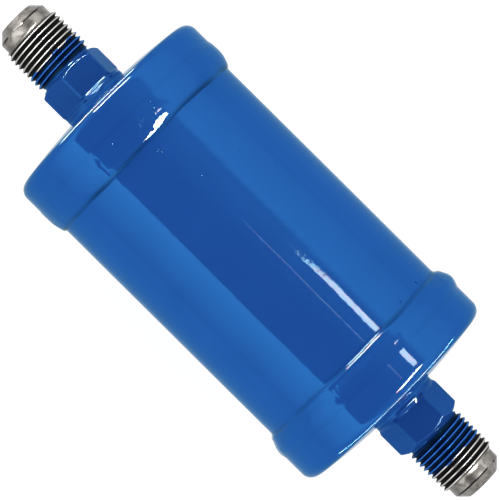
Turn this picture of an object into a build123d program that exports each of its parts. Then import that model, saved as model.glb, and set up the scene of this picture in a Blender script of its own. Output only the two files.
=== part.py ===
"""In-line refrigerant filter drier with a male flare fitting on each end.

The axis of the drier is X. The inlet is at -X, the outlet at +X, and the origin is on the axis, midway
between the two flare tips. A steel tube is closed by two stamped, domed caps whose skirts slide over it and
are girth-welded. A turned hexagon flare fitting is brazed into the middle of each cap. Inside, a spring and
a perforated plate press a moulded desiccant core against an outlet gasket, filter pad, screen and cup.

Pieces that both ends have are made pointing along +X, and the inlet's are mirrored across the YZ plane.
All sizes are in millimetres.
"""

import math
import os

from build123d import *

os.makedirs("parts", exist_ok=True)

# ---- Shell tube ----
SHELL_OD = 54.0
SHELL_WALL = 1.5
SHELL_LENGTH = 91.0
SHELL_EDGE_BREAK = 0.3

# ---- Stamped caps, whose skirts slide over the tube ----
INLET_CAP_OD = 56.5
OUTLET_CAP_OD = 57.3
CAP_SLIP = 0.05  # radial gap between the tube and the skirt
CAP_RIM_X = 38.0  # the open edge of the skirt
CAP_CORNER_RADIUS = 2.8
DOME_RADIUS = 165.0
DOME_APEX_X = 50.8
BOSS_FACE_X = 50.53  # the coined flat that the fitting's flange sits on

# ---- Girth welds, by distance along X and from the axis: where each bead meets the tube, the end of its
# foot, its highest point, and where it meets the cap ----
INLET_BEAD_START_X = 33.9
INLET_BEAD_FOOT = (34.9, 27.85)  # a steep, blunt foot
INLET_BEAD_CROWN = (38.8, 28.5)
INLET_BEAD_END_X = 42.2
OUTLET_BEAD_START_X = 33.5
OUTLET_BEAD_FOOT = (35.1, 27.6)  # a hollow foot
OUTLET_BEAD_CROWN = (38.3, 28.9)
OUTLET_BEAD_END_X = 40.9
OUTLET_BEAD_BUILD_UP = 0.6  # the last bead is thicker on its +Y side, where it was started and stopped
BEAD_END_SLOPES = (0.25, -0.12)  # how steeply a bead's face leaves the tube and comes down to the cap

# ---- Flare fitting, 5/8-18 UNF for 3/8 in tube, measured outwards from the boss face ----
THREAD_MAJOR_D = 15.875
HEX_ACROSS_FLATS = 15.875
BORE_D = 7.14
FLANGE_D = 17.4
INLET_FLANGE_LENGTH = 1.45
OUTLET_FLANGE_LENGTH = 1.0
INLET_SHOULDER_RUN = 1.4  # how far a cone takes the flange down to the radius where the chamfer ends
OUTLET_SHOULDER_RUN = 2.3
FLANGE_EDGE_BREAK = 0.25
HEX_END = 9.9
HEX_CHAMFER_FACE_R = 7.6
HEX_CHAMFER_ANGLE = 35.0
NECK_D = 13.8
THREAD_START = 11.6
THREAD_END = 22.5
THREAD_START_CHAMFER = 0.4
THREAD_END_CHAMFER = 0.7
NOSE_D = 13.66
NOSE_END = 25.0
FLARE_TIP = 27.25  # the 45 degree seat runs from the end of the nose to here
SPIGOT_D = 12.0
SPIGOT_LENGTH = 3.2
SPIGOT_FIT = 0.03  # radial gap in the cap's hole
INLET_HEX_TURN = 14.7  # degrees that the flat on top is turned towards +Y
OUTLET_HEX_TURN = 0.0
BRAZE_LEG = 0.55

# ---- The stack inside, from the inlet to the outlet ----
PLATE_THICKNESS = 1.0
CUP_CORNER_RADIUS = 1.6
CUP_D = 50.4
PRESSURE_PLATE_X = -38.6  # the face that the spring pushes on
PRESSURE_PLATE_RIM = 5.0
SCREEN_D = 50.0
SCREEN_THICKNESS = 0.5
PAD_D = 50.4
PAD_THICKNESS = 3.0
PAD_EDGE_RADIUS = 0.6
CORE_D = 45.5
CORE_LENGTH = 68.0
CORE_EDGE_BREAK = 1.2
CORE_BORE_MOUTH_D = 14.0
CORE_BORE_END_D = 11.0
CORE_BORE_DEPTH = 52.0
CORE_RECESS_D = 26.0
CORE_RECESS_DEPTH = 1.5
GASKET_D = 50.8
GASKET_HOLE_D = 16.0
GASKET_THICKNESS = 2.0

# ---- Perforations of the pressure plate and the outlet cup: one hole in the middle and rings round it ----
HOLE_D = 3.6
HOLE_RING_STEP = 6.2
HOLE_RINGS = 3
HOLES_PER_RING = 6  # in the first ring; each next ring has this many more

# ---- Corrugated centring rings between the core and the tube ----
RING_STRIP = 0.5
RING_WIDTH = 8.0
RING_WAVES = 14
RING_BEND_RADIUS = 0.9
RING_FIT = 0.05
INLET_RING_X = -27.0
OUTLET_RING_X = 27.0

# ---- Core spring ----
SPRING_WIRE_D = 2.0
SPRING_CAP_R = 18.0  # coil radius on the inlet cap
SPRING_PLATE_R = 15.0  # coil radius on the pressure plate
SPRING_PITCH = 4.0
SPRING_GRIND = 0.7  # how far into the wire each end is ground flat
SEAT_GAP = 0.02  # between a curved inner face of a cap and what bears on it

# ---- Worked out from the driving dimensions ----
SHELL_R = SHELL_OD / 2
SHELL_BORE_R = SHELL_R - SHELL_WALL
HEX_FLAT_R = HEX_ACROSS_FLATS / 2
HEX_CORNER_R = HEX_FLAT_R / math.cos(math.radians(30))
HEX_CHAMFER_RUN = (HEX_CORNER_R - HEX_CHAMFER_FACE_R) * math.tan(math.radians(HEX_CHAMFER_ANGLE))
SEAT_INNER_R = NOSE_D / 2 - (FLARE_TIP - NOSE_END)
INLET_SCREEN_X = PRESSURE_PLATE_X + PLATE_THICKNESS
INLET_PAD_X = INLET_SCREEN_X + SCREEN_THICKNESS
CORE_X = INLET_PAD_X + PAD_THICKNESS
GASKET_X = CORE_X + CORE_LENGTH
OUTLET_PAD_X = GASKET_X + GASKET_THICKNESS
OUTLET_SCREEN_X = OUTLET_PAD_X + PAD_THICKNESS
OUTLET_CUP_X = OUTLET_SCREEN_X + SCREEN_THICKNESS


def cap_wall(cap_od):
    """The wall that leaves the slip fit between a cap's skirt and the tube."""
    return cap_od / 2 - SHELL_R - CAP_SLIP


def dome_x(radius, depth=0.0):
    """Where the outlet dome, or the surface that far inside it, is at a radius from the axis."""
    return DOME_APEX_X - DOME_RADIUS + math.sqrt((DOME_RADIUS - depth) ** 2 - radius**2)


def whole_circles(piece, radius=None):
    """The full circles among a piece's edges, or only those of one radius, sorted along X."""
    circles = piece.edges().filter_by(GeomType.CIRCLE).filter_by(lambda edge: edge.is_closed)
    if radius is not None:
        circles = circles.filter_by(lambda edge: math.isclose(edge.radius, radius, rel_tol=1e-6))
    return circles.sort_by(Axis.X)


def at_inlet(outlet_piece):
    """The same piece at the other end of the drier."""
    with BuildPart() as inlet_piece:
        mirror(outlet_piece.part, about=Plane.YZ)
    return inlet_piece


def make_shell():
    with BuildPart() as shell:
        with BuildSketch(Plane.YZ.offset(-SHELL_LENGTH / 2)):
            Circle(SHELL_R)
            Circle(SHELL_BORE_R, mode=Mode.SUBTRACT)
        extrude(amount=SHELL_LENGTH)
        chamfer(whole_circles(shell), SHELL_EDGE_BREAK)
    return shell


def make_cap(cap_od):
    """A deep-drawn cap of even wall: a shallow dome with a coined boss, a rolled corner and a skirt."""
    cap_r = cap_od / 2
    boss_r = math.sqrt(DOME_RADIUS**2 - (BOSS_FACE_X - DOME_APEX_X + DOME_RADIUS) ** 2)
    halfway_r = (boss_r + cap_r) / 2
    with BuildPart() as cap:
        with BuildSketch(Plane.XZ):
            with BuildLine():
                skirt = Polyline((CAP_RIM_X, 0), (CAP_RIM_X, cap_r), (dome_x(cap_r), cap_r))
                dome = ThreePointArc(skirt @ 1, (dome_x(halfway_r), halfway_r), (BOSS_FACE_X, boss_r))
                Polyline(dome @ 1, (BOSS_FACE_X, 0), (CAP_RIM_X, 0))
            make_face()
        revolve(axis=Axis.X)
        corner = whole_circles(cap).filter_by(lambda edge: edge.radius > boss_r + 1).sort_by(Axis.X)[-1]
        fillet(corner, CAP_CORNER_RADIUS)
        offset(amount=-cap_wall(cap_od), openings=cap.faces().sort_by(Axis.X)[0])
        with Locations(Plane.YZ.offset(BOSS_FACE_X)):
            Hole(SPIGOT_D / 2 + SPIGOT_FIT)
    return cap


def make_girth_weld(cap_od, start_x, foot, crown, end_x, build_up=0.0):
    """The bead that closes the joint: it lies on the tube and laps over the edge of the cap's skirt.

    A bead with a build-up is laid twice, the second time about an axis moved that far to +Y.
    """
    cap_r = cap_od / 2
    root_r = SHELL_R - 1
    with BuildPart() as weld:
        for shift in sorted({0.0, build_up}):
            with BuildSketch(Plane((0, shift, 0))):
                with BuildLine():
                    face = Spline(
                        (start_x, SHELL_R),
                        foot,
                        crown,
                        (end_x, cap_r),
                        tangents=[(1, slope) for slope in BEAD_END_SLOPES],
                    )
                    Polyline(face @ 1, (end_x, root_r), (start_x, root_r), face @ 0)
                make_face()
            revolve(axis=Axis((0, shift, 0), (1, 0, 0)))
        # Take away what the tube and the cap fill
        with BuildSketch(Plane.XY):
            with BuildLine():
                Polyline(
                    (start_x, 0),
                    (start_x, SHELL_R),
                    (CAP_RIM_X, SHELL_R),
                    (CAP_RIM_X, cap_r),
                    (end_x, cap_r),
                    (end_x, 0),
                    close=True,
                )
            make_face()
        revolve(axis=Axis.X, mode=Mode.SUBTRACT)
    return weld


def make_fitting(hex_turn, flange_length, shoulder_run):
    """One turned piece: spigot, flange, chamfered hexagon, neck, thread blank, nose and 45 degree seat."""
    hex_start_x = BOSS_FACE_X + flange_length
    with BuildPart() as fitting:
        # Hexagon bar, with the corners of its outer end turned down to a cone
        with BuildSketch(Plane.YZ.offset(hex_start_x)):
            RegularPolygon(HEX_FLAT_R, side_count=6, major_radius=False, rotation=-hex_turn)
        extrude(amount=HEX_END - flange_length)
        with BuildSketch(Plane.XY):
            with BuildLine():
                Polyline(
                    (BOSS_FACE_X, 0),
                    (BOSS_FACE_X, HEX_CORNER_R),
                    (BOSS_FACE_X + HEX_END - HEX_CHAMFER_RUN, HEX_CORNER_R),
                    (BOSS_FACE_X + HEX_END, HEX_CHAMFER_FACE_R),
                    (BOSS_FACE_X + HEX_END, 0),
                    close=True,
                )
            make_face()
        revolve(axis=Axis.X, mode=Mode.INTERSECT)
        # What is turned round: spigot, flange and its shoulder behind the hexagon, and all in front of it
        with BuildSketch(Plane.XY):
            with BuildLine():
                Polyline(
                    (BOSS_FACE_X - SPIGOT_LENGTH, 0),
                    (BOSS_FACE_X - SPIGOT_LENGTH, SPIGOT_D / 2),
                    (BOSS_FACE_X, SPIGOT_D / 2),
                    (BOSS_FACE_X, FLANGE_D / 2),
                    (hex_start_x, FLANGE_D / 2),
                    (hex_start_x + shoulder_run, HEX_CHAMFER_FACE_R),
                    (hex_start_x + shoulder_run, NECK_D / 2),
                    (BOSS_FACE_X + THREAD_START, NECK_D / 2),
                    (BOSS_FACE_X + THREAD_START, THREAD_MAJOR_D / 2),
                    (BOSS_FACE_X + THREAD_END, THREAD_MAJOR_D / 2),
                    (BOSS_FACE_X + THREAD_END, NOSE_D / 2),
                    (BOSS_FACE_X + NOSE_END, NOSE_D / 2),
                    (BOSS_FACE_X + FLARE_TIP, SEAT_INNER_R),
                    (BOSS_FACE_X + FLARE_TIP, 0),
                    close=True,
                )
            make_face()
        revolve(axis=Axis.X)
        thread_start, thread_end = whole_circles(fitting, THREAD_MAJOR_D / 2)
        chamfer(thread_start, THREAD_START_CHAMFER)
        chamfer(thread_end, THREAD_END_CHAMFER)
        chamfer(whole_circles(fitting, FLANGE_D / 2)[0], FLANGE_EDGE_BREAK)
        with Locations(Plane.YZ.offset(BOSS_FACE_X + FLARE_TIP)):
            Hole(BORE_D / 2)
    return fitting


def make_fitting_braze():
    """The ring of filler in the corner between the fitting's flange and the cap's boss."""
    flange_r = FLANGE_D / 2
    hollow = BRAZE_LEG * (1 - math.sqrt(0.5))
    with BuildPart() as braze:
        with BuildSketch(Plane.XY):
            with BuildLine():
                face = ThreePointArc(
                    (BOSS_FACE_X + BRAZE_LEG, flange_r),
                    (BOSS_FACE_X + hollow, flange_r + hollow),
                    (BOSS_FACE_X, flange_r + BRAZE_LEG),
                )
                Polyline(
                    face @ 1,
                    (BOSS_FACE_X, flange_r - FLANGE_EDGE_BREAK),
                    (BOSS_FACE_X + FLANGE_EDGE_BREAK, flange_r),
                    face @ 0,
                )
            make_face()
        revolve(axis=Axis.X)
    return braze


def make_perforated_cup(web_x, rim_x):
    """A pressed plate whose flat web has rings of holes. Its rim is turned over towards rim_x."""
    direction = math.copysign(1, rim_x - web_x)
    cup_r = CUP_D / 2
    with BuildPart() as cup:
        with BuildSketch(Plane.YZ.offset(web_x)):
            Circle(cup_r)
        extrude(amount=rim_x - web_x)
        web_edge = whole_circles(cup).sort_by_distance((web_x, 0, 0))[0]
        fillet(web_edge, CUP_CORNER_RADIUS)
        offset(amount=-PLATE_THICKNESS, openings=cup.faces().sort_by_distance((rim_x, 0, 0))[0])
        with BuildSketch(Plane.YZ.offset(web_x)):
            Circle(HOLE_D / 2)
            for ring in range(1, HOLE_RINGS + 1):
                with PolarLocations(ring * HOLE_RING_STEP, ring * HOLES_PER_RING):
                    Circle(HOLE_D / 2)
        extrude(amount=direction * PLATE_THICKNESS, mode=Mode.SUBTRACT)
    return cup


def make_screen(start_x):
    """A disc of fine woven wire, too fine to be modelled wire by wire."""
    with BuildPart() as screen:
        with BuildSketch(Plane.YZ.offset(start_x)):
            Circle(SCREEN_D / 2)
        extrude(amount=SCREEN_THICKNESS)
    return screen


def make_pad(start_x):
    """A disc of needled felt with softened edges."""
    with BuildPart() as pad:
        with BuildSketch(Plane.YZ.offset(start_x)):
            Circle(PAD_D / 2)
        extrude(amount=PAD_THICKNESS)
        fillet(whole_circles(pad), PAD_EDGE_RADIUS)
    return pad


def make_core():
    """A moulded block. Refrigerant enters all round it and leaves by the tapered bore, open to the outlet."""
    core_end = CORE_X + CORE_LENGTH
    with BuildPart() as core:
        with BuildSketch(Plane.XY):
            with BuildLine():
                Polyline(
                    (CORE_X + CORE_RECESS_DEPTH, 0),
                    (CORE_X + CORE_RECESS_DEPTH, CORE_RECESS_D / 2 - CORE_RECESS_DEPTH),
                    (CORE_X, CORE_RECESS_D / 2),
                    (CORE_X, CORE_D / 2),
                    (core_end, CORE_D / 2),
                    (core_end, CORE_BORE_MOUTH_D / 2),
                    (core_end - CORE_BORE_DEPTH, CORE_BORE_END_D / 2),
                    (core_end - CORE_BORE_DEPTH, 0),
                    close=True,
                )
            make_face()
        revolve(axis=Axis.X)
        chamfer(whole_circles(core, CORE_D / 2), CORE_EDGE_BREAK)
    return core


def make_gasket():
    """Closes the gap round the core, so that refrigerant has to pass through the core's wall."""
    with BuildPart() as gasket:
        with BuildSketch(Plane.YZ.offset(GASKET_X)):
            Circle(GASKET_D / 2)
            Circle(GASKET_HOLE_D / 2, mode=Mode.SUBTRACT)
        extrude(amount=GASKET_THICKNESS)
    return gasket


def make_centring_ring(centre_x):
    """A closed wave of spring strip that touches the core and the tube by turns, and lets flow pass."""
    crest_r = SHELL_BORE_R - RING_FIT
    trough_r = CORE_D / 2 + RING_STRIP + RING_FIT
    crests = PolarLocations(crest_r, RING_WAVES).local_locations
    troughs = PolarLocations(trough_r, RING_WAVES, start_angle=180 / RING_WAVES).local_locations
    wave = [spot.position for crest_and_trough in zip(crests, troughs) for spot in crest_and_trough]
    with BuildPart() as ring:
        with BuildSketch(Plane.YZ.offset(centre_x - RING_WIDTH / 2)):
            with BuildLine():
                FilletPolyline(*wave, radius=RING_BEND_RADIUS, close=True)
            make_face()
            offset(amount=-RING_STRIP, mode=Mode.SUBTRACT)
        extrude(amount=RING_WIDTH)
    return ring


def make_spring():
    """A conical compression spring with ground ends, between the inlet cap and the pressure plate."""
    cap_end = SEAT_GAP - dome_x(SPRING_CAP_R + SPRING_WIRE_D / 2, cap_wall(INLET_CAP_OD))
    wire_start = cap_end + SPRING_WIRE_D / 2 - SPRING_GRIND
    wire_end = PRESSURE_PLATE_X - SPRING_WIRE_D / 2 + SPRING_GRIND
    height = wire_end - wire_start
    cone_angle = math.degrees(math.atan2(SPRING_PLATE_R - SPRING_CAP_R, height))
    with BuildPart() as spring:
        with BuildLine() as wire:
            Helix(SPRING_PITCH, height, SPRING_CAP_R, (wire_start, 0, 0), (1, 0, 0), cone_angle)
        with BuildSketch(Plane(wire.line @ 0, z_dir=wire.line % 0)):
            Circle(SPRING_WIRE_D / 2)
        sweep(path=wire.line, is_frenet=True)
        with BuildSketch(Plane.YZ.offset(cap_end)):
            Circle(SHELL_R)
        extrude(amount=PRESSURE_PLATE_X - cap_end, mode=Mode.INTERSECT)
    return spring


outlet_cup_rim_x = dome_x(CUP_D / 2, cap_wall(OUTLET_CAP_OD)) - SEAT_GAP
inlet_bead = (INLET_CAP_OD, INLET_BEAD_START_X, INLET_BEAD_FOOT, INLET_BEAD_CROWN, INLET_BEAD_END_X)
outlet_bead = (OUTLET_CAP_OD, OUTLET_BEAD_START_X, OUTLET_BEAD_FOOT, OUTLET_BEAD_CROWN, OUTLET_BEAD_END_X)

pieces = {
    "shell": make_shell(),
    "inlet_cap": at_inlet(make_cap(INLET_CAP_OD)),
    "outlet_cap": make_cap(OUTLET_CAP_OD),
    "inlet_girth_weld": at_inlet(make_girth_weld(*inlet_bead)),
    "outlet_girth_weld": make_girth_weld(*outlet_bead, build_up=OUTLET_BEAD_BUILD_UP),
    "inlet_fitting": at_inlet(make_fitting(INLET_HEX_TURN, INLET_FLANGE_LENGTH, INLET_SHOULDER_RUN)),
    "outlet_fitting": make_fitting(OUTLET_HEX_TURN, OUTLET_FLANGE_LENGTH, OUTLET_SHOULDER_RUN),
    "inlet_fitting_braze": at_inlet(make_fitting_braze()),
    "outlet_fitting_braze": make_fitting_braze(),
    "core_spring": make_spring(),
    "pressure_plate": make_perforated_cup(INLET_SCREEN_X, PRESSURE_PLATE_X - PRESSURE_PLATE_RIM),
    "inlet_screen": make_screen(INLET_SCREEN_X),
    "inlet_pad": make_pad(INLET_PAD_X),
    "inlet_centring_ring": make_centring_ring(INLET_RING_X),
    "desiccant_core": make_core(),
    "outlet_centring_ring": make_centring_ring(OUTLET_RING_X),
    "outlet_gasket": make_gasket(),
    "outlet_pad": make_pad(OUTLET_PAD_X),
    "outlet_screen": make_screen(OUTLET_SCREEN_X),
    "outlet_cup": make_perforated_cup(OUTLET_CUP_X, outlet_cup_rim_x),
}

for name, piece in pieces.items():
    piece.part.label = name
    export_step(piece.part, f"parts/{name}.step")
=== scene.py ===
"""Finish of an in-line filter drier: painted can, weld beads, turned flare fittings and the stack inside."""

import math

import bmesh
import bpy
import numpy as np
from mathutils import Matrix, Vector, noise


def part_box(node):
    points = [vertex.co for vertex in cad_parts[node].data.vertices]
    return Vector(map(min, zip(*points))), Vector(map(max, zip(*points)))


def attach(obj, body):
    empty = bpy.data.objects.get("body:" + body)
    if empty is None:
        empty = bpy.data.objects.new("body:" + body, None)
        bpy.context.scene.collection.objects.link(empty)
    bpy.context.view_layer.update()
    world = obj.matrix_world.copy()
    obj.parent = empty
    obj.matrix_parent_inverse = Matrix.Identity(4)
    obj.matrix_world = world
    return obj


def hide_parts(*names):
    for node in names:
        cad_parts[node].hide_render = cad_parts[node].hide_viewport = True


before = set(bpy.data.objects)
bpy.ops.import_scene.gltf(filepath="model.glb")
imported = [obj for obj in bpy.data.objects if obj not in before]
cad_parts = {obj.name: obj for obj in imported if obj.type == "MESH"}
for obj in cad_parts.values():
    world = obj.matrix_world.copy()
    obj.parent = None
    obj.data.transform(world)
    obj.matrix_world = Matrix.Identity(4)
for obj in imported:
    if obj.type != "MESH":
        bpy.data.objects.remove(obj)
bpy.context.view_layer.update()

MM = 0.001

# ---- Sizes read from the frame ----
_, SHELL_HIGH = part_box("shell")
_, INLET_CAP_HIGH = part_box("inlet_cap")
OUTLET_CAP_LOW, OUTLET_CAP_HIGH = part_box("outlet_cap")
OUTLET_BEAD_LOW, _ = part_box("outlet_girth_weld")
FITTING_LOW, FITTING_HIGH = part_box("outlet_fitting")

SHELL_R = SHELL_HIGH.z
SHELL_END = SHELL_HIGH.x
CAP_RIM_X = OUTLET_CAP_LOW.x
INLET_CAP_R = INLET_CAP_HIGH.z
OUTLET_CAP_R = OUTLET_CAP_HIGH.z
BOSS_FACE_X = OUTLET_CAP_HIGH.x
FLOOR_Z = OUTLET_BEAD_LOW.z

# ---- Can ----
SHELL_WALL = 1.5 * MM
CAP_CORNER_R = 2.8 * MM
DOME_R = 165 * MM
DOME_APEX_X = 50.8 * MM
CAP_CLEARANCE = 0.05 * MM
SPIGOT_HOLE_R = 6.03 * MM
COLUMNS = 540  # steps round the can
WAVE_DEPTH = 0.04 * MM  # how far drawn tube and thick paint are out of true
WAVE_SIZE = 22 * MM

# ---- Flare fitting, measured outwards from the boss face ----
SPIGOT_R = 6.0 * MM
SPIGOT_LENGTH = BOSS_FACE_X - FITTING_LOW.x
FLANGE_R = 8.7 * MM
FLANGE_EDGE_R = 0.3 * MM
HEX_FLAT_R = 7.94 * MM
HEX_END = 9.9 * MM
HEX_FACE_R = 7.6 * MM
HEX_CHAMFER = math.radians(35)
HEX_EDGE_R = 0.45 * MM
NECK_R = 6.9 * MM
NECK_FILLET_R = 0.35 * MM
THREAD_START = 10.6 * MM
THREAD_END = 22.5 * MM
THREAD_CREST_R = 7.9 * MM
THREAD_ROOT_R = 7.06 * MM
THREAD_PITCH = 1.355 * MM
NOSE_R = 6.83 * MM
NOSE_END = 25.0 * MM
TIP_LENGTH = FITTING_HIGH.x - BOSS_FACE_X
BORE_R = 3.57 * MM
JOINT_S = THREAD_START - 0.1 * MM  # where the painted part meets the threaded end

# ---- Studio ----
CAMERA_HEIGHT = 900 * MM
IMAGE_WIDTH = 118.1 * MM  # what the image takes in across, at the height of the axis
IMAGE_SIZE = 500
AXIS_PIXEL = (249.55, 250.95)  # where the middle of the axis falls in the image
AXIS_ANGLE = math.radians(44.762)  # how far below level the +X end points in the image
SENSOR_WIDTH = 36.0


# ==== Node helpers ====

FLOAT = "NodeSocketFloat"
NUMBERS = {float: FLOAT, int: "NodeSocketInt"}
VECTOR = "NodeSocketVector"
GEOMETRY = "NodeSocketGeometry"
MATERIAL = "NodeSocketMaterial"


def is_socket(value):
    return isinstance(value, bpy.types.NodeSocket)


def set_inputs(node, inputs):
    """Gives each input its value, or a link from it where it is another node's socket."""
    for key, value in inputs.items():
        if is_socket(value):
            node.id_data.links.new(value, node.inputs[key])
        else:
            node.inputs[key].default_value = value


def add_node(tree, kind, inputs=None, **settings):
    """A node with its settings and its inputs."""
    made = tree.nodes.new(kind)
    for name, value in settings.items():
        setattr(made, name, value)
    set_inputs(made, inputs or {})
    return made


def after(socket, kind, inputs, **settings):
    """The outputs of a node added to the tree that a socket is in."""
    return add_node(socket.id_data, kind, inputs, **settings).outputs


def maths(operation, *values):
    """The output of a Math node, one or more of whose values are sockets."""
    socket = next(filter(is_socket, values))
    return after(socket, "ShaderNodeMath", dict(enumerate(values)), operation=operation)[0]


def times(first, second):
    return maths("MULTIPLY", first, second)


def ramp(value, low, high):
    """0 where the value is at or under low and 1 where it is at or over high. low may be the greater one."""
    inputs = {"Value": value, "From Min": low, "From Max": high}
    return after(value, "ShaderNodeMapRange", inputs, interpolation_type="SMOOTHSTEP")[0]


def between(factor, first, second):
    """The first number where the factor is 0 and the second where it is 1."""
    return after(factor, "ShaderNodeMapRange", {"Value": factor, "To Min": first, "To Max": second})[0]


def mix_colour(factor, first, second):
    """The first colour where the factor is 0 and the second where it is 1."""
    return after(factor, "ShaderNodeMix", {0: factor, 6: first, 7: second}, data_type="RGBA")[2]


def noise_value(vector, scale, detail=2.0, roughness=0.5, distortion=0.0):
    """Noise about 0.5, with features about 1/scale metres across."""
    inputs = {"Vector": vector, "Scale": scale, "Detail": detail, "Roughness": roughness}
    return after(vector, "ShaderNodeTexNoise", inputs | {"Distortion": distortion})["Fac"]


def per(size):
    """The scale that makes features of a size."""
    return maths("DIVIDE", 1.0, size)


def split(vector):
    """The three parts of a vector."""
    return after(vector, "ShaderNodeSeparateXYZ", {0: vector})


def red_of(colour):
    return after(colour, "ShaderNodeSeparateColor", {0: colour})[0]


def rgba(red, green, blue):
    return (red, green, blue, 1.0)


def new_tree(name, kind, inputs, outputs):
    """A node tree with named sockets, what it is given and its output node.

    inputs gives each socket's default value, or the kind of a socket that has none. outputs gives kinds.
    """
    tree = bpy.data.node_groups.new(name, kind)
    for socket_name, value in inputs.items():
        kind = NUMBERS.get(type(value), value)
        socket = tree.interface.new_socket(name=socket_name, in_out="INPUT", socket_type=kind)
        if kind != value:
            socket.default_value = value
    for socket_name, kind in outputs.items():
        tree.interface.new_socket(name=socket_name, in_out="OUTPUT", socket_type=kind)
    return tree, tree.nodes.new("NodeGroupInput").outputs, tree.nodes.new("NodeGroupOutput")


def new_group(name, inputs, *outputs):
    """A shader node group that reads a position and puts out numbers."""
    return new_tree(name, "ShaderNodeTree", {"Position": VECTOR} | inputs, dict.fromkeys(outputs, FLOAT))


def place_group(group, position, changed=None):
    """The outputs of a shader node group, placed with some of its values changed."""
    return after(position, "ShaderNodeGroup", {"Position": position} | (changed or {}), node_tree=group)


# ==== Shared surface effects ====


def make_wet_paint_group():
    """Waves, orange peel and specks of thick gloss paint, and a faint change of depth of colour."""
    sizes = {"Wave size": 0.009, "Wave height": 6.0, "Peel size": 0.0011, "Depth scale": 60.0}
    specks = {"Speck spacing": 0.004, "Speck width": 0.07, "Speck share": 0.1, "Speck height": 2.0}
    group, given, result = new_group("wet_paint", sizes | specks, "Height", "Depth")
    position = given["Position"]
    wave = noise_value(position, per(given["Wave size"]), 1.0)
    peel = noise_value(position, per(given["Peel size"]))
    spacing = {"Vector": position, "Scale": per(given["Speck spacing"])}
    cells = after(position, "ShaderNodeTexVoronoi", spacing)
    chosen = maths("LESS_THAN", red_of(cells["Color"]), given["Speck share"])
    speck = times(ramp(cells["Distance"], given["Speck width"], 0.0), chosen)
    height = maths("MULTIPLY_ADD", wave, given["Wave height"], peel)
    height = maths("MULTIPLY_ADD", speck, given["Speck height"], height)
    depth = noise_value(position, given["Depth scale"], 3.0, 0.6)
    set_inputs(result, {"Height": height, "Depth": depth})
    return group


def make_turning_group():
    """Tool marks of a lathe: fine rings about X, broken up a little round the axis, and smudges."""
    inputs = {"Ring size": 0.00012, "Smudge scale": 560.0}
    group, given, result = new_group("turning_marks", inputs, "Rings", "Smudge")
    stretch = {0: given["Position"], 1: (1.0, 0.06, 0.06)}
    stretched = after(given["Position"], "ShaderNodeVectorMath", stretch, operation="MULTIPLY")[0]
    rings = noise_value(stretched, per(given["Ring size"]), 2.0, 0.6)
    smudge = noise_value(given["Position"], given["Smudge scale"], 4.0, 0.65, 0.6)
    set_inputs(result, {"Rings": rings, "Smudge": smudge})
    return group


def make_axis_group():
    """Distance from the middle along X, and from the X axis."""
    group, given, result = new_group("round_the_axis", {}, "Along", "Radius")
    x, y, z = split(given["Position"])
    square = maths("ADD", maths("POWER", y, 2.0), maths("POWER", z, 2.0))
    set_inputs(result, {"Along": maths("ABSOLUTE", x), "Radius": maths("SQRT", square)})
    return group


def make_worn_group():
    """Slow clouds of wear with fine scuffs in them, and the grain under them."""
    inputs = {"Size": 0.004, "Grain rate": 14.0, "Grain share": 0.35, "Worn from": 0.34, "Worn to": 0.62}
    group, given, result = new_group("worn_surface", inputs, "Worn", "Grain")
    rate = per(given["Size"])
    cloud = noise_value(given["Position"], rate, 4.0, 0.6, 0.4)
    grain = noise_value(given["Position"], times(rate, given["Grain rate"]), 3.0, 0.65)
    clouded = times(cloud, maths("SUBTRACT", 1.0, given["Grain share"]))
    level = maths("MULTIPLY_ADD", grain, given["Grain share"], clouded)
    worn = ramp(level, given["Worn from"], given["Worn to"])
    set_inputs(result, {"Worn": worn, "Grain": grain})
    return group


def make_weave_group():
    """A plain weave across X: where a wire is, and how high it stands as it goes over and under."""
    inputs = {"Pitch": 0.001, "Crimp": 0.25, "Gap below": 0.62, "Wire above": 0.74}
    group, given, result = new_group("plain_weave", inputs, "Wire", "Height")
    _, y, z = split(given["Position"])
    rate = maths("DIVIDE", math.pi, given["Pitch"])
    across = times(y, rate)
    upward = times(z, rate)
    warp = maths("ABSOLUTE", maths("COSINE", across))
    weft = maths("ABSOLUTE", maths("COSINE", upward))
    over = times(maths("SINE", across), maths("SINE", upward))
    rise = times(over, given["Crimp"])
    highest = maths("MAXIMUM", maths("ADD", warp, rise), maths("SUBTRACT", weft, rise))
    wire = ramp(highest, given["Gap below"], given["Wire above"])
    set_inputs(result, {"Wire": wire, "Height": highest})
    return group


WET_PAINT = make_wet_paint_group()
TURNING = make_turning_group()
ROUND_AXIS = make_axis_group()
WORN = make_worn_group()
WEAVE = make_weave_group()


# ==== Materials ====

PAINT_BLUE = rgba(0.0150, 0.091, 0.398)
PAINT_DEEP = rgba(0.0124, 0.076, 0.335)
# paint pooled at a bead's toe and in its crease by the cap, darkened further as painted shade
PAINT_POOL_SHADE = rgba(0.0060, 0.034, 0.160)
# the can's paint on the fittings, made darker than on the can: painted shade
FITTING_SHADED_BLUE = rgba(0.0150, 0.076, 0.330)
FITTING_SHADED_DEEP = rgba(0.0122, 0.062, 0.275)
# paler paint on the thread's crests: a painted highlight
FITTING_CREST_HIGHLIGHT = rgba(0.030, 0.150, 0.560)
# grime in the bottom of the painted thread, deepened as painted shade
FITTING_GRIME_AND_SHADE = rgba(0.0012, 0.003, 0.036)
PAINT_SHEEN = 0.135  # share of metal, which gives the paint's broad blue reflections
PAINT_LEVEL = 0.005
PAINT_REFLECTION = rgba(0.0, 30.0, 0.5)
FITTING_REFLECTION = rgba(0.0, 20.0, 8.0)
PAINT_FILM = 0.03
PAINT_FILM_ROUGH = 0.02
PAINT_ROUGH = (0.028, 0.056)  # where its colour is deepest and palest
PAINT_RELIEF = 0.009 * MM
STEEL = rgba(0.21, 0.20, 0.186)
STEEL_DARK = rgba(0.105, 0.098, 0.088)
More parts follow.
